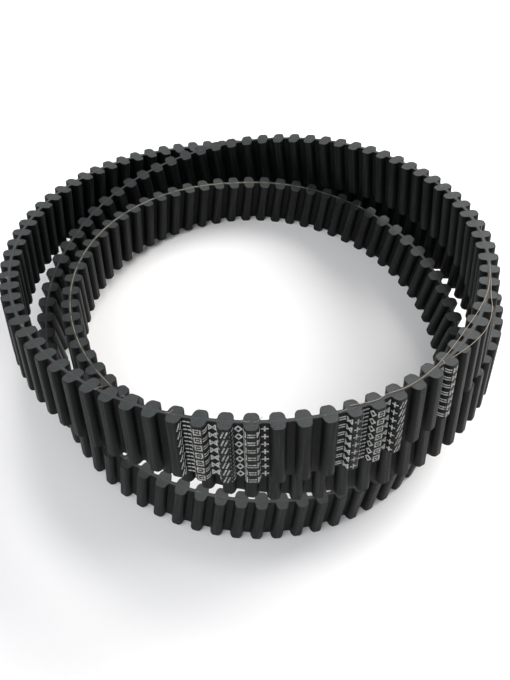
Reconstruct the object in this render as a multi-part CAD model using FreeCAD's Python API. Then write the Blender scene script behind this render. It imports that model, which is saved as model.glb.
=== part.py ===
import FreeCAD, Part
import math
import os

# Double-sided timing belt, 220 teeth of 8 mm pitch, 25 mm wide, lying on its edge in three turns.
# The belt is one endless strip. Its centre line is worked out from the sheet, and each tooth gets a
# frame on it: along the belt, outwards, and across the width. Every solid is built tooth by tooth on
# those frames, from the cord band in the middle to the nylon facings on the teeth.

Vector = FreeCAD.Vector

# Lengths in mm, angles in degrees. A path angle is 0 where the belt passes the front of its top turn,
# and grows to the right, the back and the left, through all three turns, to 1080. The first tooth is a
# little way along the belt from there.
DIMENSIONS = {
    "tooth_count": 220,
    "tooth_pitch": 8.0,
    "first_tooth": -1.5,
    "belt_width": 25.0,
    "cord_half": 0.40,
    "land_half": 0.75,
    "facing_thick": 0.20,
    "tooth_height": 3.05,
    "tooth_root": 5.2,
    "tooth_shoulder": 4.7,
    "tooth_crown": 3.2,
    "shoulder_height": 1.9,
    "hinge_gap": 0.8,
    "top_arch_height": 75.0,
    "top_arch_crest": 1095.0,
    "top_arch_rise": 175.0,
    "top_arch_fall": 240.0,
    "top_arch_lean": 18.0,
    "mid_arch_height": 43.0,
    "mid_arch_crest": 755.0,
    "mid_arch_rise": 195.0,
    "mid_arch_fall": 145.0,
    "mid_arch_lean": 18.0,
    "left_lean": 7.5,
    "left_lean_middle": 270.0,
    "left_lean_spread": 90.0,
    "front_lean": -8.5,
    "front_lean_middle": 355.0,
    "front_lean_spread": 85.0,
}

# Each turn is a ring of its own width and depth, slipped sideways against the others.
TURNS = {
    "turn_one": {"half_width": 92.0, "half_depth": 94.0, "slip_right": -13.0, "slip_back": -2.0},
    "turn_two": {"half_width": 86.0, "half_depth": 83.0, "slip_right": 2.0, "slip_back": -5.0},
    "turn_three": {"half_width": 97.0, "half_depth": 97.0, "slip_right": -7.0, "slip_back": 5.0},
}
TURN_ANGLE = 360.0
BACK_ANGLE = 180.0
FULL_PATH = TURN_ANGLE * len(TURNS)

# The belt is divided at tooth lands. Each run starts at the land nearest its path angle and ends where
# the next one starts.
RUNS = {
    "back_fall": 120.0,
    "front_floor": 250.0,
    "inner_floor": 400.0,
    "left_climb": 550.0,
    "middle_left": 690.0,
    "middle_front": 725.0,
    "middle_right": 757.0,
    "outer_floor": 790.0,
    "top_left": 988.0,
    "top_front_left": 1033.0,
    "top_front_right": 1082.0,
    "top_right": 1139.0,
}

# The runs of the two free spans flex, so a gap is left across the belt where each of these starts.
HINGED_STARTS = ["middle_left", "middle_front", "middle_right", "outer_floor"]
HINGED_STARTS += ["top_left", "top_front_left", "top_front_right", "top_right", "back_fall"]

# Steps round the whole path when its length is measured, and rounds of drawing it to length.
PATH_STEPS = 4320
FIT_ROUNDS = 6

# How sharply an arch's lean dies away towards its feet.
LEAN_FADE = 4


def heading(angle):
    """The direction from the middle of the coil at a path angle, in radians from +X."""
    return math.radians(angle - 90.0)


def make_sheet(doc):
    """Put every driving dimension in a spreadsheet cell under its own name."""
    sheet = doc.addObject("Spreadsheet::Sheet", "dimensions")
    values = dict(DIMENSIONS)
    for turn, sizes in TURNS.items():
        for name, size in sizes.items():
            values[turn + "_" + name] = size
    for row, (name, value) in enumerate(values.items(), start=1):
        sheet.set("A%d" % row, name)
        sheet.set("B%d" % row, str(value))
        sheet.setAlias("B%d" % row, name)
    doc.recompute()
    return sheet


def turn_share(angle, index):
    """How much one of the three turns counts: all at its own back, nothing at the others' backs."""
    away = math.radians(angle - BACK_ANGLE - TURN_ANGLE * index)
    return (1 + 2 * math.cos(away / len(TURNS))) / len(TURNS)


def ring_radius(angle, ring):
    """How far a slipped ring lies from the middle of the coil at a path angle."""
    right, back = math.cos(heading(angle)), math.sin(heading(angle))
    size = ring["half_width"] * right ** 2 + ring["half_depth"] * back ** 2
    return size + ring["slip_right"] * right + ring["slip_back"] * back


def nearest_turn(angle, crest):
    """The signed way from the crest to an angle, the short way round the endless path."""
    return (angle - crest + FULL_PATH / 2) % FULL_PATH - FULL_PATH / 2


def swell(angle, crest, rise, fall):
    """1 at the crest, falling smoothly to 0 a rise before it and a fall after it."""
    away = nearest_turn(angle, crest)
    share = away / (rise if away < 0 else fall)
    if abs(share) >= 1:
        return 0.0
    return 0.5 * (1 + math.cos(math.pi * share))


def arch_lean(angle, crest, rise, fall):
    """An arch leans in at its crest and out at its feet, because the belt cannot bend edgewise."""
    away = nearest_turn(angle, crest)
    share = away / (rise if away < 0 else fall)
    if abs(share) >= 1:
        return 0.0
    return -math.cos(math.pi * share) * (1 - share ** LEAN_FADE)


class Lay:
    """How the belt lies: centre line, height and lean at any path angle."""

    def __init__(self, sheet):
        self.sheet = sheet
        self.rings = [{name: sheet.get(turn + "_" + name) for name in sizes} for turn, sizes in TURNS.items()]
        self.scale = 1.0
        self.half_width = sheet.belt_width / 2
        self.half_thick = sheet.land_half + sheet.tooth_height
        self.shift = Vector(0, 0, 0)
        self.fit_length(sheet.tooth_count * sheet.tooth_pitch)
        self.centre_up()

    def radius(self, angle):
        """The centre line's distance from the middle, passing smoothly from each turn to the next."""
        return sum(turn_share(angle, i) * ring_radius(angle, ring) for i, ring in enumerate(self.rings))

    def arch(self, name):
        """Crest, rise and fall of one arch, as path angles."""
        return [self.sheet.get(name + part) for part in ("_crest", "_rise", "_fall")]

    def height(self, angle):
        """How far the belt's lower edge is off the surface."""
        total = 0.0
        for name in ("top_arch", "mid_arch"):
            total += self.sheet.get(name + "_height") * swell(angle, *self.arch(name))
        return total

    def lean(self, angle):
        """How far the belt's upper edge leans outwards, in radians."""
        total = 0.0
        for name in ("top_arch", "mid_arch"):
            total += self.sheet.get(name + "_lean") * arch_lean(angle, *self.arch(name))
        for name in ("left_lean", "front_lean"):
            spread = self.sheet.get(name + "_spread")
            total += self.sheet.get(name) * swell(angle, self.sheet.get(name + "_middle"), spread, spread)
        return math.radians(total)

    def point(self, angle):
        """The centre of the belt's section, resting on its lower corner where it leans."""
        turn = heading(angle)
        radius = self.radius(angle) * self.scale
        lean = self.lean(angle)
        rise = self.half_width * math.cos(lean) + self.half_thick * abs(math.sin(lean))
        spot = Vector(radius * math.cos(turn), radius * math.sin(turn), self.height(angle) + rise)
        return spot + self.shift

    def measure(self):
        """Path length at every step round the belt."""
        step = FULL_PATH / PATH_STEPS
        points = [self.point(i * step) for i in range(PATH_STEPS + 1)]
        lengths = [0.0]
        for a, b in zip(points, points[1:]):
            lengths.append(lengths[-1] + (b - a).Length)
        return lengths

    def fit_length(self, wanted):
        """Draw the turns in or out a little until the centre line is a whole number of teeth."""
        for _ in range(FIT_ROUNDS):
            self.lengths = self.measure()
            self.scale *= wanted / self.lengths[-1]
        self.lengths = self.measure()

    def centre_up(self):
        """Move the coil so that its outline is centred on the origin."""
        tips = []
        for tooth in range(int(self.sheet.tooth_count)):
            frame = self.tooth_frame(tooth)
            for spot in tooth_outline(self.sheet, 0.0):
                tips += [place(frame, spot, side) for side in (-self.half_width, self.half_width)]
        self.shift.x = -(min(p.x for p in tips) + max(p.x for p in tips)) / 2
        self.shift.y = -(min(p.y for p in tips) + max(p.y for p in tips)) / 2

    def angle_at(self, length):
        """The path angle at a length along the belt."""
        total = self.lengths[-1]
        laps = math.floor(length / total)
        wanted = length - laps * total
        low, high = 0, PATH_STEPS
        while high - low > 1:
            middle = (low + high) // 2
            if self.lengths[middle] <= wanted:
                low = middle
            else:
                high = middle
        share = (wanted - self.lengths[low]) / (self.lengths[high] - self.lengths[low])
        return (low + share) * FULL_PATH / PATH_STEPS + laps * FULL_PATH

    def length_at(self, angle):
        """The length along the belt at a path angle."""
        laps = math.floor(angle / FULL_PATH)
        spot = (angle - laps * FULL_PATH) * PATH_STEPS / FULL_PATH
        low = int(spot)
        share = spot - low
        part = self.lengths[low] + share * (self.lengths[low + 1] - self.lengths[low])
        return laps * self.lengths[-1] + part

    def tooth_frame(self, tooth):
        """Centre, way along, way out and way across of one tooth."""
        pitch = self.lengths[-1] / self.sheet.tooth_count
        length = self.sheet.first_tooth + tooth * pitch
        angle = self.angle_at(length)
        centre = self.point(angle)
        before = self.point(self.angle_at(length - pitch / 2))
        after = self.point(self.angle_at(length + pitch / 2))
        along = (after - before).normalize()
        turn = heading(angle)
        lean = self.lean(angle)
        outward = Vector(math.cos(turn), math.sin(turn), 0)
        across = outward * math.sin(lean) + Vector(0, 0, math.cos(lean))
        across = (across - along * across.dot(along)).normalize()
        return centre, along, along.cross(across), across


def tooth_outline(sheet, skin):
    """Half-section of a tooth and its land as (along, out) points, drawn in by a skin thickness."""
    land = sheet.land_half - skin
    root = sheet.tooth_root / 2 - skin
    shoulder = sheet.tooth_shoulder / 2 - skin
    crown = sheet.tooth_crown / 2 - skin / 2
    waist = sheet.land_half + sheet.shoulder_height - skin / 2
    tip = sheet.land_half + sheet.tooth_height - skin
    return [(-root, land), (-shoulder, waist), (-crown, tip), (crown, tip), (shoulder, waist), (root, land)]


def flat_outline(sheet, out):
    """A plain layer boundary at a distance from the middle of the belt."""
    root = sheet.tooth_root / 2 - sheet.facing_thick
    return [(-root, out), (root, out)]


def layer_outlines(sheet):
    """Each bonded layer's inner and outer boundary, from the inner facing to the outer one."""
    cord = sheet.cord_half
    core = tooth_outline(sheet, sheet.facing_thick)
    face = tooth_outline(sheet, 0.0)
    inward = [[(along, -out) for along, out in line] for line in (core, face)]
    return {
        "inner_facing": (inward[1], inward[0]),
        "inner_rubber": (inward[0], flat_outline(sheet, -cord)),
        "cord_band": (flat_outline(sheet, -cord), flat_outline(sheet, cord)),
        "outer_rubber": (flat_outline(sheet, cord), core),
        "outer_facing": (core, face),
    }


def place(frame, spot, side):
    """A section point of a tooth in space, at one edge of the belt."""
    centre, along, out, across = frame
    return centre + along * spot[0] + out * spot[1] + across * side


def flat_face(*corners):
    """A flat face through corners in order."""
    return Part.Face(Part.makePolygon(list(corners) + [corners[0]]))


def bent_face(a, b, c, d):
    """A four-cornered patch that may be twisted, as two triangles split from a to c."""
    return [flat_face(a, b, c), flat_face(a, c, d)]


def between(a, b, share):
    """The point a share of the way from a to b."""
    return a + (b - a) * share


def run_solid(frames, outlines, half_width, start_share, end_share):
    """One layer of one run. frames holds the run's teeth and one more at each end."""
    inner, outer = outlines
    low, high = -half_width, half_width

    def corners(frame, last):
        """The four corners of the layer where a tooth meets its land."""
        end = -1 if last else 0
        return [
            place(frame, inner[end], low),
            place(frame, inner[end], high),
            place(frame, outer[end], high),
            place(frame, outer[end], low),
        ]

    def land(first, second):
        """The land's four sides, both broad ones split the same way so that layers meet face to face."""
        faces = bent_face(first[0], first[1], second[1], second[0])
        faces += bent_face(first[1], first[2], second[2], second[1])
        faces += bent_face(first[3], first[2], second[2], second[3])
        faces += bent_face(first[3], first[0], second[0], second[3])
        return faces

    faces = []
    before = [corners(frames[0], True), corners(frames[1], False)]
    start = [between(a, b, start_share) for a, b in zip(*before)]
    after = [corners(frames[-2], True), corners(frames[-1], False)]
    end = [between(a, b, end_share) for a, b in zip(*after)]
    faces += bent_face(*start)
    faces += bent_face(*end)
    faces += land(start, before[1])
    for frame in frames[1:-1]:
        for line in (inner, outer):
            for a, b in zip(line, line[1:]):
                faces.append(flat_face(
                    place(frame, a, low), place(frame, b, low), place(frame, b, high), place(frame, a, high)))
        for side in (low, high):
            rim = list(inner) + list(reversed(outer))
            faces.append(flat_face(*[place(frame, spot, side) for spot in rim]))
    for frame, following in zip(frames[1:-2], frames[2:-1]):
        faces += land(corners(frame, True), corners(following, False))
    faces += land(after[0], end)
    shell = Part.makeShell(faces)
    shell.sewShape()
    solid = Part.makeSolid(shell)
    if solid.Volume < 0:
        solid.reverse()
    return solid


def run_teeth(sheet, lay):
    """First and last tooth of each run, from the land nearest to its start angle."""
    lengths = [lay.length_at(angle) - sheet.first_tooth for angle in RUNS.values()]
    starts = [round(length / sheet.tooth_pitch - 0.5) + 1 for length in lengths]
    ends = starts[1:] + [starts[0] + int(sheet.tooth_count)]
    return {name: (first, last - 1) for name, first, last in zip(RUNS, starts, ends)}


def build(doc, sheet):
    """Make one feature for each layer of each run."""
    lay = Lay(sheet)
    names = list(RUNS)
    teeth = run_teeth(sheet, lay)
    outlines = layer_outlines(sheet)
    land_length = sheet.tooth_pitch - sheet.tooth_root
    cut = sheet.hinge_gap / 2 / land_length
    features = []
    for index, name in enumerate(names):
        first, last = teeth[name]
        following = names[(index + 1) % len(names)]
        start_share = 0.5 + (cut if name in HINGED_STARTS else 0.0)
        end_share = 0.5 - (cut if following in HINGED_STARTS else 0.0)
        frames = [lay.tooth_frame(tooth) for tooth in range(first - 1, last + 2)]
        for layer, pair in outlines.items():
            feature = doc.addObject("Part::Feature", name + "_" + layer)
            feature.Label = name + "_" + layer
            feature.Shape = run_solid(frames, pair, sheet.belt_width / 2, start_share, end_share)
            feature.Placement = FreeCAD.Placement()
            features.append(feature)
    return features


def check_and_write(doc, features):
    """Stop on any failed object, then write each sub-part to its own file."""
    doc.recompute()
    for item in doc.Objects:
        if "Invalid" in item.State or "Error" in item.State:
            raise RuntimeError("failed object: " + item.Label)
    for feature in features:
        if feature.Shape.isNull() or not feature.Shape.isValid():
            raise RuntimeError("bad shape: " + feature.Label)
    os.makedirs("parts", exist_ok=True)
    for feature in features:
        feature.Shape.exportStep("parts/" + feature.Label + ".step")
        print(feature.Label, round(feature.Shape.Volume, 2), len(feature.Shape.Faces))


def main():
    doc = FreeCAD.newDocument("timing_belt")
    sheet = make_sheet(doc)
    features = build(doc, sheet)
    check_and_write(doc, features)


main()
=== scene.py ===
"""The looks of a double-sided timing belt that lies on its edge in three turns.

The belt's centre line, height and lean are worked out as the CAD part does, in mm, and every piece is
placed by three belt coordinates: how far along the belt, how far out from the middle of its web, and
how far across its width. A rounded tooth outline then gives the moulded rubber and its nylon facings.
Runs ride on their bodies, and a short strip of web lies across each hinge line between two of them.
"""

import math

import bmesh
import bpy
import numpy as np
from mathutils import Matrix, Vector


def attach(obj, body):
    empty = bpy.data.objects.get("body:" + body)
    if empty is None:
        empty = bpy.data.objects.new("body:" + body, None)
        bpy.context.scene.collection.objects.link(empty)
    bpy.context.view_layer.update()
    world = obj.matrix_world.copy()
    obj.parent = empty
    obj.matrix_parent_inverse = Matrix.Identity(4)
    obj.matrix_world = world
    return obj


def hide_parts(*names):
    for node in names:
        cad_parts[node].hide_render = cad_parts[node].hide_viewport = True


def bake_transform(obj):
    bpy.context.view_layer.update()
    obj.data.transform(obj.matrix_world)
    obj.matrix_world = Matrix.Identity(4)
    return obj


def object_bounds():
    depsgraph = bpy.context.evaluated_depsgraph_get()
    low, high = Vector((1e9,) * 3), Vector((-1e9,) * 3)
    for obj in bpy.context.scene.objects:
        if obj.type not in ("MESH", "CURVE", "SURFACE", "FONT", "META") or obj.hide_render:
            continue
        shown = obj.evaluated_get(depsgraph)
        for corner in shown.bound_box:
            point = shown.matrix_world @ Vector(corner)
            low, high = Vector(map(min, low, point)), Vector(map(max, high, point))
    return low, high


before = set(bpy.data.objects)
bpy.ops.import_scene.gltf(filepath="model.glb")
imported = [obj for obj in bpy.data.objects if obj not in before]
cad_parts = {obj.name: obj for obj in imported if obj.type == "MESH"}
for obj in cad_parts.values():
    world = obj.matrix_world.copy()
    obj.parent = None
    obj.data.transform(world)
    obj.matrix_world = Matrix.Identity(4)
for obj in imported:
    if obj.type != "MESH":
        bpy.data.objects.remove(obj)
cad_box = [list(corner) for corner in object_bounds()]

MM = 0.001

# The belt's section, in mm. LAND is half the web's thickness. From its root a tooth narrows to its
# shoulder, given as (along, above the web), and on to its flat tip, and its corners are cut back and
# rounded. CROWN is half the length of the plain CAD tooth's crown, whose corners centre the coil.
TEETH = 220
PITCH = 8.0
HALF_WIDTH = 12.5
ROOT = 2.6
SHOULDER = (2.36, 1.85)
TIP = 1.4
TOOTH_HEIGHT = 3.05
ROUNDING = (0.7, 0.62)
ROUND_STEPS = 5
CROWN = 1.6
LAND = 0.75
HALF_THICK = 3.8
FACING = 0.2

# The first tooth's place on the path.
FIRST_TOOTH = -1.5

# Half of the flat part of the web between two teeth, which a strip covers at a hinge line.
FLAT = 0.9

# Cords and loose threads: how thick they are and how deep an exposed cord lies in the cut edge.
CORD_RADIUS = 0.3
CORD_SUNK = 0.24
CORD_STEP = 1.0
THREAD_SIDES = 8
SHARP = math.radians(42)

# The stretch where the cut has bared the cords most, in mm along the belt, and how much they hide past it.
BARE_MIDDLE = 960.0
BARE_REACH = 90.0
BARE_LIFT = 0.24

# Spacing of the facing's threads along and across the belt, and of the twist in a yarn.
WEAVE = (0.62, 0.5)
PLY_PITCH = 0.9

# How the belt lies, in mm and degrees. Each turn is a ring as (half width, half depth, slip to the right,
# slip to the back), the two raised arches are (height, crest, rise, fall, lean), and two leaning
# stretches are (lean, middle, spread).
TURNS = [(92.0, 94.0, -13.0, -2.0), (86.0, 83.0, 2.0, -5.0), (97.0, 97.0, -7.0, 5.0)]
ARCHES = [(75.0, 1095.0, 175.0, 240.0, 18.0), (43.0, 755.0, 195.0, 145.0, 18.0)]
LEANS = [(7.5, 270.0, 90.0), (-8.5, 355.0, 85.0)]
TURN_ANGLE = 360.0
BACK_ANGLE = 180.0
FULL_PATH = TURN_ANGLE * len(TURNS)
LEAN_FADE = 4

# How finely the path is measured, and how often it is scaled towards the belt's own length.
PATH_STEPS = 4320
LENGTH_ROUNDS = 6

# Runs of the belt as (name, body, first tooth, last tooth), and the web between runs at each hinge as
# (joint, body before, body after, tooth before). The runs meet directly where no joint joins them.
RUNS = [
    ("lower_turns", "resting_turns", 24, 134),
    ("middle_left", "middle_left", 135, 140),
    ("middle_front", "middle_front", 141, 147),
    ("middle_right", "middle_right", 148, 153),
    ("outer_turn", "resting_turns", 154, 198),
    ("top_left", "top_left", 199, 209),
    ("top_front_left", "top_front_left", 210, 220),
    ("top_front_right", "top_front_right", 221, 231),
    ("top_right", "top_right", 232, 243),
]
HINGES = [
    ("middle_flex", "resting_turns", "middle_left", 134),
    ("middle_flex_left", "middle_left", "middle_front", 140),
    ("middle_flex_right", "middle_front", "middle_right", 147),
    ("top_flex", "resting_turns", "top_left", 198),
    ("top_flex_left", "top_left", "top_front_left", 209),
    ("top_flex_front", "top_front_left", "top_front_right", 220),
    ("top_flex_right", "top_front_right", "top_right", 231),
]
CAD_RUNS = {
    "lower_turns": ["back_fall", "front_floor", "inner_floor", "left_climb"],
    "outer_turn": ["outer_floor"],
}

STRIP_STEPS = 9

# Printed marks: blocks as (first, last) places in teeth, rows across the width, how many columns a tooth
# takes, how many shapes are passed over from one column to the next, and how near the middle of a land a
# column may stand and still belong to a run. The shapes are lines through (along, across) corners, and
# none of them is a letter or a figure.
MARK_BLOCKS = [(217.25, 220.5), (223.5, 226.25), (228.25, 229.0)]
MARK_ROWS = [10.2 - 3.5 * row for row in range(7)]
MARK_COLUMNS = 4
MARK_STRIDE = 3
MARK_CLEAR = 0.05
MARK_HALF = 1.15
MARK_PEN = 0.24
MARK_STEP = 0.35
INK = 0.035
GLYPHS = [
    [[(-0.8, 0), (0.8, 0)], [(0, 0.8), (0, -0.8)]],
    [[(-0.9, 0.45), (0.9, 0.45)], [(-0.9, -0.45), (0.9, -0.45)]],
    [[(0, 1), (0.9, 0), (0, -1), (-0.9, 0), (0, 1)]],
    [[(-0.9, -1), (-0.1, 1)], [(0.1, -1), (0.9, 1)]],
    [[(-0.9, 0.8), (0.9, -0.8), (0.9, 0.8), (-0.9, -0.8), (-0.9, 0.8)]],
    [[(-0.9, 0.9), (0.9, 0.9), (0.9, -0.9), (-0.9, -0.9), (-0.9, 0.9)], [(-0.2, 0), (0.2, 0)]],
    [[(-0.9, 0.8), (-0.3, 0.8)], [(0.3, 0.8), (0.9, 0.8)],
     [(-0.9, -0.8), (-0.3, -0.8)], [(0.3, -0.8), (0.9, -0.8)]],
]

# Cord threads pulled loose from the top turn's upper edge, as points of (place in teeth, mm out, mm above
# the edge), with the hinge that they cross.
LOOSE_RADIUS = 0.11
LOOSE_STEPS = 12
LOOSE_CORDS = [
    [(223.9, -1.2, 0.25), (224.4, -0.6, 0.5), (225.0, 0.1, 0.4), (225.6, -0.4, 0.6), (226.3, 0.2, 0.4),
     (227.2, 0.3, 0.4), (228.3, -0.3, 0.6), (229.5, -1.1, 0.8), (231.0, -1.7, 0.9), (232.3, -1.2, 0.7),
     (233.8, -0.3, 0.5), (235.0, 0.0, 0.35), (236.4, 0.1, 0.15)],
    [(229.2, 1.0, 0.1), (230.0, 2.4, 0.3), (231.0, 3.7, 0.3), (232.0, 4.0, 0.2), (233.0, 3.0, 0.4),
     (234.0, 1.2, 0.4), (235.2, 0.4, 0.2)],
]
LOOSE_HINGE = ("top_front_right", "top_right", 231)

# Short frayed ends as (place in teeth, body): each starts off the middle of the edge, goes along in teeth
# and climbs in mm with every step, strays further by (out, rise) and hardly dips below the edge.
FRAY_RADIUS = 0.08
FRAY_STEPS = 6
FRAY_SEED = 7
FRAY_OUT = 0.2
FRAY_ALONG = 0.11
FRAY_CLIMB = 0.45
FRAY_LOWEST = -0.05
FRAY_STRAY = [(0, 0), (0.4, 0.3), (0.9, 0.6), (1.5, 0.9)]
FRAYS = [(203.2, "top_left"), (207.4, "top_left"), (213.3, "top_front_left"), (216.6, "top_front_left"),
         (219.6, "top_front_left"), (220.1, "top_front_left"), (223.4, "top_front_right"),
         (228.4, "top_front_right"), (239.2, "top_right"), (145.3, "middle_front"), (60.4, "resting_turns"),
         (66.7, "resting_turns"), (101.5, "resting_turns"), (171.6, "resting_turns")]

# Half the side of the floor, in metres.
FLOOR_REACH = 4.0

# Lights as (name, place, size, power, colour), the point they aim at, and the surrounding light.
LIGHTS = [
    ("back_right_window", (0.55, 0.75, 0.85), 0.9, 26.0, (1.0, 0.99, 0.97)),
    ("front_left_fill", (-0.7, -0.6, 1.1), 1.2, 12.0, (0.96, 0.98, 1.0)),
]
TARGET = (0.0, 0.0, 0.03)
WORLD_COLOUR = (0.95, 0.97, 1.0)
WORLD_STRENGTH = 0.45

# The camera: its place in mm from the middle of the turns, and in degrees how far it looks down and how
# far it is rolled.
CAMERA_PLACE = (-6.5, -195.0, 306.5)
CAMERA_DIP = math.radians(56.8)
CAMERA_ROLL = math.radians(8.8)
CAMERA_LENS = 40.1
CAMERA_SHIFT = -0.018


# The lay of the belt


def radius_at(angle):
    """The centre line's distance from the middle, passing smoothly from each turn to the next."""
    right, back = np.cos(np.radians(angle - 90)), np.sin(np.radians(angle - 90))
    total = 0.0
    for index, (half_width, half_depth, slip_right, slip_back) in enumerate(TURNS):
        away = np.radians(angle - BACK_ANGLE - TURN_ANGLE * index)
        share = (1 + 2 * np.cos(away / len(TURNS))) / len(TURNS)
        ring = half_width * right ** 2 + half_depth * back ** 2 + slip_right * right + slip_back * back
        total = total + share * ring
    return total


def away_share(angle, crest, rise, fall):
    """How far an angle is from the crest, as a share of the way to the arch's foot."""
    away = (angle - crest + FULL_PATH / 2) % FULL_PATH - FULL_PATH / 2
    return np.clip(away / np.where(away < 0, rise, fall), -1, 1)


def swell(angle, crest, rise, fall):
    """1 at the crest, falling smoothly to 0 at the feet."""
    return 0.5 * (1 + np.cos(np.pi * away_share(angle, crest, rise, fall)))


def height(angle):
    return sum(up * swell(angle, crest, rise, fall) for up, crest, rise, fall, _ in ARCHES)


def lean(angle):
    """How far the upper edge leans outwards, in radians."""
    total = sum(most * swell(angle, middle, spread, spread) for most, middle, spread in LEANS)
    for _, crest, rise, fall, most in ARCHES:
        share = away_share(angle, crest, rise, fall)
        total = total - most * np.cos(np.pi * share) * (1 - share ** LEAN_FADE)
    return np.radians(total)


def centre_line(angle, scale):
    """The middle of the belt's section at path angles."""
    turn = np.radians(angle - 90)
    out = radius_at(angle) * scale
    tilt = lean(angle)
    up = height(angle) + HALF_WIDTH * np.cos(tilt) + HALF_THICK * np.abs(np.sin(tilt))
    return np.stack([out * np.cos(turn), out * np.sin(turn), up], -1)


def unit(vectors):
    return vectors / np.linalg.norm(vectors, axis=-1, keepdims=True)


def lay_belt():
    """Centre, way along, way out and way across of every tooth."""
    steps = np.linspace(0, FULL_PATH, PATH_STEPS + 1)
    scale = 1.0
    for _ in range(LENGTH_ROUNDS):
        line = centre_line(steps, scale)
        lengths = np.concatenate([[0], np.cumsum(np.linalg.norm(np.diff(line, axis=0), axis=1))])
        scale *= TEETH * PITCH / lengths[-1]

    def angle_at(tooth):
        return np.interp((tooth * PITCH + FIRST_TOOTH) % (TEETH * PITCH), lengths, steps)

    tooth = np.arange(TEETH)
    angle = angle_at(tooth)
    turn, tilt = np.radians(angle - 90), lean(angle)
    centre = centre_line(angle, scale)
    along = unit(centre_line(angle_at(tooth + 0.5), scale) - centre_line(angle_at(tooth - 0.5), scale))
    across = np.stack([np.cos(turn) * np.sin(tilt), np.sin(turn) * np.sin(tilt), np.cos(tilt)], -1)
    across = unit(across - along * np.sum(across * along, -1, keepdims=True))
    return centre, along, np.cross(along, across), across


def coil_middle():
    """The shift that centres the outline of the tooth crowns on the origin."""
    tips = [CENTRE + OUT * HALF_THICK + ALONG * ahead + ACROSS * side
            for ahead in (-CROWN, CROWN) for side in (-HALF_WIDTH, HALF_WIDTH)]
    tips = np.concatenate(tips)
    return -(tips.min(0) + tips.max(0)) / 2 * (1, 1, 0)


CENTRE, ALONG, OUT, ACROSS = lay_belt()
COIL_MIDDLE = coil_middle()


def on_tooth(tooth, ahead, out, side):
    """Points on a tooth's own straight frame."""
    tooth = tooth % TEETH
    return CENTRE[tooth] + ALONG[tooth] * ahead + OUT[tooth] * out + ACROSS[tooth] * side


def belt(along, out, side):
    """Points of the belt, in metres, from mm along it, out from its middle and across its width.

    Each tooth is straight, and the land between two teeth passes evenly from one's frame to the other's.
    """
    along, out, side = np.broadcast_arrays(*(np.asarray(v, float) for v in (along, out, side)))
    tooth = np.round(along / PITCH).astype(int)
    ahead = (along - tooth * PITCH)[..., None]
    out, side = out[..., None], side[..., None]
    before = tooth - (ahead[..., 0] < -ROOT)
    past = np.where(ahead < 0, ahead + PITCH, ahead) - ROOT
    share = past / (PITCH - 2 * ROOT)
    land = on_tooth(before, ROOT, out, side) * (1 - share) + on_tooth(before + 1, -ROOT, out, side) * share
    spots = np.where(np.abs(ahead) <= ROOT, on_tooth(tooth, ahead, out, side), land)
    return (spots + COIL_MIDDLE) * MM


# The tooth outline


def rounded(corners, cuts, steps):
    """A line of corners, each but the first and last cut back and rounded."""
    corners = [np.array(c, float) for c in corners]
    spots = [corners[0]]
    for before, corner, after, cut in zip(corners, corners[1:], corners[2:], cuts):
        start = corner + unit(before - corner) * cut
        end = corner + unit(after - corner) * cut
        for t in np.linspace(0, 1, steps):
            spots.append(start * (1 - t) ** 2 + corner * 2 * t * (1 - t) + end * t ** 2)
    spots.append(corners[-1])
    return np.array(spots)


def tooth_outline():
    """A tooth's rounded outline as (along, out), and the rubber's outline under its facing."""
    shoulder, top = (-SHOULDER[0], LAND + SHOULDER[1]), LAND + TOOTH_HEIGHT
    half = [(-PITCH / 2, LAND), (-ROOT, LAND), shoulder, (-TIP, top), (0, top)]
    left = rounded(half, [PITCH / 2 - ROOT - FLAT, *ROUNDING], ROUND_STEPS)[1:]
    face = np.concatenate([left, (left * (-1, 1))[-2::-1]])
    way = unit(np.gradient(face, axis=0))
    core = face - np.stack([-way[:, 1], way[:, 0]], -1) * FACING
    core[[0, -1]] = face[[0, -1]] - (0, FACING)
    return face, core


FACE, CORE = tooth_outline()
FACE_LENGTHS = np.concatenate([[0], np.cumsum(np.linalg.norm(np.diff(FACE, axis=0), axis=1))])
SURFACE_PITCH = FACE_LENGTHS[-1] + 2 * FLAT


def samples(outline, run, reaches):
    """A run's outline as (along, out) rows, from its first tooth to its last.

    reaches says whether the run goes on to the middle of the land before it and after it.
    """
    first, last = run
    rows = [outline + (tooth * PITCH, 0) for tooth in range(first, last + 1)]
    if reaches[0]:
        rows.insert(0, [(first - 0.5) * PITCH, outline[0][1]] * np.ones((1, 2)))
    if reaches[1]:
        rows.append([(last + 0.5) * PITCH, outline[0][1]] * np.ones((1, 2)))
    return np.concatenate(rows)


# Meshes


def add_mesh(name, spots, faces, material, lay=None):
    """A mesh object with outward normals, smooth but for its sharp edges.

    lay holds each point's own place on the unrolled belt, in mm, for its material's pattern to follow.
    """
    mesh = bpy.data.meshes.new(name)
    mesh.from_pydata(np.asarray(spots, float).tolist(), [], faces)
    build = bmesh.new()
    build.from_mesh(mesh)
    bmesh.ops.recalc_face_normals(build, faces=build.faces)
    build.to_mesh(mesh)
    build.free()
    mesh.shade_smooth()
    mesh.set_sharp_from_angle(angle=SHARP)
    if lay is not None:
        attribute = mesh.attributes.new("lay", "FLOAT_VECTOR", "POINT")
        attribute.data.foreach_set("vector", np.asarray(lay, np.float32).ravel())
    mesh.materials.append(material)
    piece = bpy.data.objects.new(name, mesh)
    bpy.context.scene.collection.objects.link(piece)
    return piece


def ring_faces(rings, around):
    """Faces of a closed bar of rings, with both ends capped."""
    faces = [tuple(reversed(range(around)))]
    for i in range(rings - 1):
        for j in range(around):
            k = (j + 1) % around
            faces.append((i * around + j, i * around + k, (i + 1) * around + k, (i + 1) * around + j))
    faces.append(tuple(range((rings - 1) * around, rings * around)))
    return faces


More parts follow.
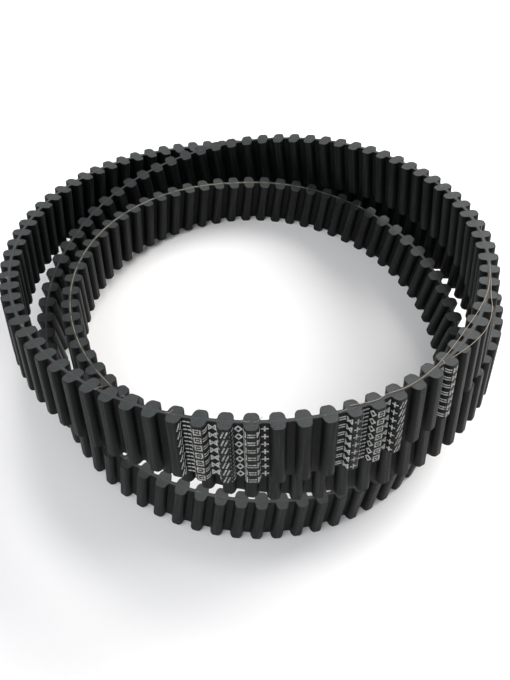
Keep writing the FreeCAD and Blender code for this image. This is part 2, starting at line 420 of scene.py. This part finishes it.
def layer(name, inner, outer, surface, material):
    """A layer of the belt as one closed solid, between two lines of (along, out) rows."""
    edges = [(inner, -HALF_WIDTH), (inner, HALF_WIDTH), (outer, HALF_WIDTH), (outer, -HALF_WIDTH)]
    spots = np.stack([belt(line[:, 0], line[:, 1], side) for line, side in edges], 1)
    lay = np.stack([np.stack([surface, line[:, 1], np.full(len(line), side)], -1) for line, side in edges], 1)
    return add_mesh(name, spots.reshape(-1, 3), ring_faces(len(inner), 4), material, lay.reshape(-1, 3))


def surface_lengths(line):
    """The length along a line of rows, so that a pattern isn't stretched on the teeth's sides."""
    steps = np.linalg.norm(np.diff(line, axis=0), axis=1)
    return line[0, 0] * SURFACE_PITCH / PITCH + np.concatenate([[0], np.cumsum(steps)])


def belt_layers(name, face, core):
    """Both facings, the rubber between them and the exposed cords of one stretch of belt."""
    flip = (1, -1)
    along = surface_lengths(face)
    pieces = {
        "outer_facing": layer("outer_facing_" + name, core, face, along, facing),
        "inner_facing": layer("inner_facing_" + name, face * flip, core * flip, along, facing),
        "rubber": layer("rubber_" + name, core * flip, core, core[:, 0], rubber),
    }
    ends = face[0, 0], face[-1, 0]
    cord_along = np.linspace(*ends, max(5, int((ends[1] - ends[0]) / CORD_STEP)))
    for side, place in ((1, "upper"), (-1, "lower")):
        across = np.full(len(cord_along), side * (HALF_WIDTH - CORD_SUNK))
        cord = tube(f"{place}_cord_{name}", cord_along, 0 * across, across, CORD_RADIUS, cord_yarn)
        pieces[place + "_cord"] = cord
    return pieces


def tube(name, along, out, side, radius, material):
    """A closed round thread of one thickness through belt coordinates, with flat ends."""
    spots = belt(along, out, side)
    way = unit(np.gradient(spots, axis=0))
    up = unit(belt(along, out, side + 1) - spots)
    right = unit(np.cross(way, up))
    up = np.cross(right, way)
    turns = np.arange(THREAD_SIDES) * 2 * np.pi / THREAD_SIDES
    radius = np.broadcast_to(radius, along.shape)[:, None, None] * MM
    around = right[:, None] * np.cos(turns)[None, :, None] + up[:, None] * np.sin(turns)[None, :, None]
    rings = spots[:, None] + around * radius
    lay = np.stack(np.broadcast_arrays(along[:, None], turns[None, :], 0 * along[:, None]), -1)
    faces = ring_faces(len(along), THREAD_SIDES)
    return add_mesh(name, rings.reshape(-1, 3), faces, material, lay.reshape(-1, 3))


def smooth_line(points, steps):
    """A smooth line through points, with a number of steps from each to the next."""
    points = np.array(points, float)
    padded = np.concatenate([[2 * points[0] - points[1]], points, [2 * points[-1] - points[-2]]])
    t = (np.arange(steps) / steps)[:, None]
    line = []
    for a, b, c, d in zip(padded, padded[1:], padded[2:], padded[3:]):
        line.append(0.5 * (2 * b + (c - a) * t + (2 * a - 5 * b + 4 * c - d) * t ** 2
                           + (3 * b - a - 3 * c + d) * t ** 3))
    return np.concatenate(line + [points[-1:]])


# Materials


class Shade:
    """A node material in the making."""

    def __init__(self, name, **sockets):
        self.material = bpy.data.materials.new(name)
        self.material.use_nodes = True
        self.nodes = self.material.node_tree.nodes
        self.links = self.material.node_tree.links
        self.shader = self.nodes["Principled BSDF"]
        for socket, value in sockets.items():
            self.shader.inputs[socket.replace("_", " ")].default_value = value

    def node(self, kind, inputs=(), **settings):
        """A node with its settings made, and its inputs set to a value or linked to a socket."""
        made = self.nodes.new("ShaderNode" + kind)
        for setting, value in settings.items():
            setattr(made, setting, value)
        for key, value in dict(inputs).items():
            self.join(value, made.inputs[key])
        return made

    def join(self, value, socket):
        if isinstance(value, bpy.types.NodeSocket):
            self.links.new(value, socket)
        else:
            socket.default_value = value

    def sum(self, operation, *values):
        return self.node("Math", enumerate(values), operation=operation).outputs[0]

    def lay(self, scale=(1, 1, 1)):
        """The place on the unrolled belt, stretched, as a vector."""
        place = self.node("Attribute", attribute_name="lay").outputs["Vector"]
        return self.node("VectorMath", {0: place, 1: scale}, operation="MULTIPLY").outputs[0]

    def noise(self, vector, scale, detail=2.0, rough=0.5):
        values = {"Vector": vector, "Scale": scale, "Detail": detail, "Roughness": rough}
        return self.node("TexNoise", values).outputs["Fac"]

    def ramp(self, value, *stops):
        """A smooth run of grey levels or colours through (position, level) stops."""
        made = self.node("ValToRGB", {"Fac": value})
        steps = made.color_ramp.elements
        while len(steps) < len(stops):
            steps.new(0.5)
        for step, (place, level) in zip(steps, stops):
            step.position = place
            step.color = (*level, 1) if isinstance(level, tuple) else (level, level, level, 1)
        return made.outputs["Color"]

    def mix(self, share, a, b, kind="MIX"):
        made = self.node("Mix", data_type="RGBA", blend_type=kind)
        self.join(share, made.inputs[0])
        self.join(a if isinstance(a, bpy.types.NodeSocket) else (*a, 1), made.inputs[6])
        self.join(b if isinstance(b, bpy.types.NodeSocket) else (*b, 1), made.inputs[7])
        return made.outputs[2]

    def finish(self, colour, roughness, relief=None, depth=0.0):
        """Colour, roughness and, where there is a relief, bumps of a depth in metres."""
        self.join(colour, self.shader.inputs["Base Color"])
        self.join(roughness, self.shader.inputs["Roughness"])
        if relief is not None:
            bump = self.node("Bump", {"Height": relief, "Distance": depth, "Strength": 1.0})
            self.join(bump.outputs["Normal"], self.shader.inputs["Normal"])
        return self.material


def facing_material():
    """Black nylon cloth over the teeth: fine weave, dusty lands, crowns worn and with a painted highlight."""
    shade = Shade("nylon_facing", Specular_IOR_Level=0.14, Sheen_Weight=0.004, Sheen_Roughness=0.5)
    lay = shade.lay()
    along, out, side = shade.node("SeparateXYZ", {0: lay}).outputs
    threads = [shade.sum("SINE", shade.sum("MULTIPLY", v, 2 * math.pi / p))
               for v, p in ((along, WEAVE[0]), (side, WEAVE[1]))]
    weave = shade.sum("MULTIPLY_ADD", shade.sum("MULTIPLY", *threads), 0.5, 0.5)
    grain = shade.noise(lay, 2.6, 4.0, 0.6)
    streaks = shade.noise(shade.lay((1.3, 1, 0.06)), 1.0, 3.0)
    patches = shade.noise(shade.lay((0.05, 0, 0.07)), 1.0, 2.0)
    # The crowns are painted lighter in streaks: partly real rubbing of the cloth, partly a painted highlight.
    crown = shade.node("MapRange", {0: shade.sum("ABSOLUTE", out), 1: 3.1, 2: 3.85}).outputs[0]
    rubbed_and_highlit = shade.sum("MULTIPLY", crown, shade.ramp(streaks, (0.45, 0.08), (0.68, 1.0)))
    deep = shade.ramp(grain, (0.3, (0.0012, 0.0016, 0.0016)), (0.75, (0.0036, 0.0043, 0.0042)))
    worn_and_highlit = shade.ramp(grain, (0.3, (0.0060, 0.0072, 0.0070)), (0.75, (0.0240, 0.0275, 0.0268)))
    colour = shade.mix(rubbed_and_highlit, deep, worn_and_highlit)
    colour = shade.mix(shade.ramp(patches, (0.45, 0.0), (0.75, 0.3)), colour, (0.0085, 0.0090, 0.0082))
    polish = shade.sum("ADD", grain, shade.sum("MULTIPLY", rubbed_and_highlit, -0.2))
    roughness = shade.ramp(polish, (0.2, 0.42), (0.8, 0.62))
    relief = shade.sum("ADD", shade.sum("MULTIPLY", weave, 0.45), shade.sum("MULTIPLY", grain, 0.9))
    return shade.finish(colour, roughness, relief, 0.00011)


def rubber_material():
    """Black rubber where the sleeve was sawn to width: grey, grained and flecked with fibre."""
    shade = Shade("belt_rubber", Specular_IOR_Level=0.36)
    lay = shade.lay()
    grain = shade.noise(lay, 3.2, 5.0, 0.65)
    cuts = shade.noise(shade.lay((0.25, 1.6, 0.25)), 2.0, 3.0)
    patches = shade.noise(shade.lay((0.12, 0.3, 0.1)), 1.0, 2.0)
    flecks = shade.node("TexVoronoi", {"Vector": lay, "Scale": 1.5}, feature="F1").outputs["Distance"]
    colour = shade.ramp(grain, (0.38, (0.006, 0.0075, 0.0078)), (0.64, (0.026, 0.031, 0.032)))
    colour = shade.mix(shade.ramp(cuts, (0.4, 0.0), (0.75, 0.45)), colour, (0.036, 0.042, 0.044))
    colour = shade.mix(shade.ramp(patches, (0.4, 0.0), (0.7, 0.5)), colour, (0.0095, 0.0115, 0.0112))
    colour = shade.mix(shade.ramp(flecks, (0.07, 0.6), (0.17, 0.0)), colour, (0.125, 0.132, 0.126))
    roughness = shade.ramp(grain, (0.25, 0.36), (0.75, 0.56))
    relief = shade.sum("ADD", grain, shade.sum("MULTIPLY", cuts, 0.7))
    return shade.finish(colour, roughness, relief, 0.00018)


def yarn_material(name, pale, dark, covered):
    """Twisted glass-fibre yarn, showing its ply, and dark where rubber still covers it."""
    shade = Shade(name, Specular_IOR_Level=0.4)
    along, around, _ = shade.node("SeparateXYZ", {0: shade.lay()}).outputs
    twist = shade.sum("MULTIPLY_ADD", along, 2 * math.pi / PLY_PITCH, shade.sum("MULTIPLY", around, 2))
    ply = shade.sum("MULTIPLY_ADD", shade.sum("SINE", twist), 0.5, 0.5)
    cover = shade.noise(shade.lay((0.32, 0.2, 1)), 1.0, 3.0, 0.6)
    colour = shade.mix(ply, dark, pale)
    beside_bare = shade.sum("ABSOLUTE", shade.sum("SUBTRACT", along, BARE_MIDDLE))
    fade = {0: beside_bare, 1: BARE_REACH, 2: 2 * BARE_REACH, 4: BARE_LIFT}
    hidden = shade.node("MapRange", fade).outputs[0]
    cover = shade.sum("SUBTRACT", cover, hidden)
    share = shade.ramp(cover, (covered - 0.08, 1.0), (covered + 0.08, 0.0))
    colour = shade.mix(share, colour, (0.035, 0.040, 0.040))
    return shade.finish(colour, shade.ramp(ply, (0, 0.7), (1, 0.5)), ply, 0.00006)


def ink_material():
    """Silver-white transfer ink, thin and broken where it crosses the cloth's high spots."""
    shade = Shade("transfer_ink", Specular_IOR_Level=0.4)
    lay = shade.lay()
    along, out, _ = shade.node("SeparateXYZ", {0: lay}).outputs
    wear = shade.noise(lay, 2.2, 3.0, 0.6)
    crown = shade.node("MapRange", {0: shade.sum("ABSOLUTE", out), 1: 2.6, 2: 3.8, 4: 0.17}).outputs[0]
    share = shade.ramp(shade.sum("ADD", wear, crown), (0.5, 0.0), (0.72, 0.8))
    colour = shade.mix(share, (0.50, 0.51, 0.50), (0.085, 0.078, 0.062))
    return shade.finish(colour, shade.ramp(wear, (0.3, 0.4), (0.7, 0.6)), wear, 0.00003)


def floor_material():
    """A white paper sweep with a trace of tone."""
    shade = Shade("white_paper", Specular_IOR_Level=0.1)
    place = shade.node("TexCoord").outputs["Object"]
    tone = shade.noise(place, 3.0, 2.0)
    colour = shade.ramp(tone, (0.3, (0.86, 0.845, 0.84)), (0.7, (0.88, 0.87, 0.87)))
    return shade.finish(colour, shade.ramp(tone, (0.3, 0.8), (0.7, 0.9)))


facing = facing_material()
rubber = rubber_material()
cord_yarn = yarn_material("cord_yarn", (0.34, 0.29, 0.19), (0.15, 0.125, 0.085), 0.44)
loose_yarn = yarn_material("loose_yarn", (0.42, 0.34, 0.27), (0.20, 0.155, 0.12), 0.1)
ink = ink_material()


# The belt: its runs, and the web at each hinge line


def place_strip(piece, before, after, tooth):
    """A piece over the web after a tooth, with its place baked into its mesh."""
    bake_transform(piece)


hinge_teeth = [hinge[-1] for hinge in HINGES]
for name, body, first, last in RUNS:
    reaches = (first - 1 not in hinge_teeth, last not in hinge_teeth)
    rows = [samples(outline, (first, last), reaches) for outline in (FACE, CORE)]
    pieces = belt_layers(name, *rows)
    for part, piece in pieces.items():
        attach(piece, body)
    for run in CAD_RUNS.get(name, [name]):
        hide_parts(run + "_outer_facing")
        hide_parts(run + "_inner_facing")
        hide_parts(run + "_outer_rubber", run + "_inner_rubber")
        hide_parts(run + "_cord_band")

for joint, before, after, tooth in HINGES:
    along = (tooth + 0.5) * PITCH + np.linspace(-FLAT, FLAT, STRIP_STEPS)
    rows = [np.stack([along, np.full(len(along), out)], -1) for out in (LAND, LAND - FACING)]
    for part, piece in belt_layers("at_" + joint, *rows).items():
        place_strip(piece, before, after, tooth)


# Printed marks, loose threads and frayed ends


def surface_run(first, last):
    """The outer face and the rubber under it between two teeth, with lengths along the surface."""
    rows = [samples(outline, (first, last), (True, True)) for outline in (FACE, CORE)]
    return rows[0], rows[1], surface_lengths(rows[0])


def on_surface(run, length, side, rise):
    """Points at a length along the outer surface, raised off it by mm."""
    face, core, lengths = run
    ahead = [np.interp(length, lengths, line[:, 0]) for line in (face, core)]
    out = [np.interp(length, lengths, line[:, 1]) for line in (face, core)]
    lift = rise / FACING
    return belt(ahead[0] + (ahead[0] - ahead[1]) * lift, out[0] + (out[0] - out[1]) * lift, side), out[0]


def stroke(run, start, end):
    """Rings of one pen line between two (length, across) places, each point with its place and lay."""
    way = unit(end - start)
    steps = max(2, int(np.linalg.norm(end - start) / MARK_STEP) + 1)
    middle = np.linspace(start - way * MARK_PEN, end + way * MARK_PEN, steps)
    across = np.array([-way[1], way[0]]) * MARK_PEN
    rings = []
    for pen, rise in ((-1, -INK), (1, -INK), (1, INK), (-1, INK)):
        length, side = (middle + pen * across).T
        spots, out = on_surface(run, length, side, rise)
        rings.append(np.concatenate([spots, middle[:, :1], out[:, None], middle[:, 1:]], -1))
    return np.stack(rings, 1)


def marks(name, cells):
    """Rows of plain marks printed on the outer surface, one column of them at each cell."""
    run = surface_run(int(min(cells)) - 1, int(max(cells)) + 2)
    points, faces = [], []
    for cell in cells:
        glyph = GLYPHS[int(cell * MARK_COLUMNS) * MARK_STRIDE % len(GLYPHS)]
        for side in MARK_ROWS:
            middle = np.array([cell * SURFACE_PITCH, side])
            for line in glyph:
                corners = middle + np.array(line, float) * MARK_HALF
                for start, end in zip(corners, corners[1:]):
                    rings = stroke(run, start, end)
                    base = sum(map(len, points))
                    faces += [tuple(base + i for i in face) for face in ring_faces(len(rings), 4)]
                    points.append(rings.reshape(-1, 6))
    points = np.concatenate(points)
    return add_mesh(name, points[:, :3], faces, ink, points[:, 3:])


def thread(name, points, steps, radius, body=None, hinge=None):
    """A loose thread through (tooth, out, rise above the upper edge) points."""
    line = smooth_line(points, steps)
    piece = tube(name, line[:, 0] * PITCH, line[:, 1], HALF_WIDTH + line[:, 2], radius, loose_yarn)
    if hinge:
        place_strip(piece, *hinge)
    else:
        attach(piece, body)
    return piece


for block, (first, last) in enumerate(MARK_BLOCKS):
    cells = np.arange(first, last + MARK_CLEAR, 1 / MARK_COLUMNS)
    for name, body, low, high in RUNS:
        own = [c for c in cells if low - 0.5 + MARK_CLEAR < c < high + 0.5 - MARK_CLEAR]
        if own:
            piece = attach(marks(f"marks_{block}_{name}", own), body)
    for joint, before, after, tooth in HINGES:
        own = [c for c in cells if abs(c - tooth - 0.5) < MARK_CLEAR]
        if own:
            piece = marks(f"marks_{block}_at_{joint}", own)
            place_strip(piece, before, after, tooth)

for index, points in enumerate(LOOSE_CORDS):
    thread(f"loose_cord_{index}", points, LOOSE_STEPS, LOOSE_RADIUS, hinge=LOOSE_HINGE)

draw = np.random.RandomState(FRAY_SEED)
for index, (tooth, body) in enumerate(FRAYS):
    stray = draw.uniform(-1, 1, np.shape(FRAY_STRAY)) * FRAY_STRAY
    points = [(tooth + step * FRAY_ALONG, FRAY_OUT + out, max(FRAY_LOWEST, FRAY_CLIMB * step + up))
              for step, (out, up) in enumerate(stray)]
    thread(f"fray_{index}", points, FRAY_STEPS, FRAY_RADIUS, body=body)


# Floor, lights and camera


def area_light(name, place, size, power, colour):
    """A soft square light that points at the middle of the coil."""
    data = bpy.data.lights.new(name, "AREA")
    data.shape, data.size, data.energy, data.color = "SQUARE", size, power, colour
    light = bpy.data.objects.new(name, data)
    light.location = place
    light.rotation_euler = (Vector(TARGET) - Vector(place)).to_track_quat("-Z", "Y").to_euler()
    bpy.context.scene.collection.objects.link(light)


floor_mesh = bpy.data.meshes.new("floor")
corners = [(x * FLOOR_REACH, y * FLOOR_REACH, 0) for x, y in ((-1, -1), (1, -1), (1, 1), (-1, 1))]
floor_mesh.from_pydata(corners, [], [(0, 1, 2, 3)])
floor_mesh.materials.append(floor_material())
floor = bpy.data.objects.new("floor", floor_mesh)
floor.location.z = cad_box[0][2]
bpy.context.scene.collection.objects.link(floor)

for light in LIGHTS:
    area_light(*light)
world = bpy.data.worlds.new("studio")
world.use_nodes = True
world.node_tree.nodes["Background"].inputs["Color"].default_value = (*WORLD_COLOUR, 1)
world.node_tree.nodes["Background"].inputs["Strength"].default_value = WORLD_STRENGTH
bpy.context.scene.world = world
bpy.context.scene.view_settings.view_transform = "Standard"

ahead = Vector((0, math.cos(CAMERA_DIP), -math.sin(CAMERA_DIP)))
right, up = Vector((1, 0, 0)), Vector((0, math.sin(CAMERA_DIP), math.cos(CAMERA_DIP)))
rolled_right = right * math.cos(CAMERA_ROLL) + up * math.sin(CAMERA_ROLL)
rolled_up = up * math.cos(CAMERA_ROLL) - right * math.sin(CAMERA_ROLL)
camera_data = bpy.data.cameras.new("camera")
camera_data.lens = CAMERA_LENS
camera_data.shift_y = CAMERA_SHIFT
camera_data.clip_start = 0.01
camera = bpy.data.objects.new("camera", camera_data)
turn = Matrix((rolled_right, rolled_up, -ahead)).transposed().to_4x4()
camera.matrix_world = Matrix.Translation(Vector((COIL_MIDDLE + CAMERA_PLACE) * MM)) @ turn
bpy.context.scene.collection.objects.link(camera)
bpy.context.scene.camera = camera
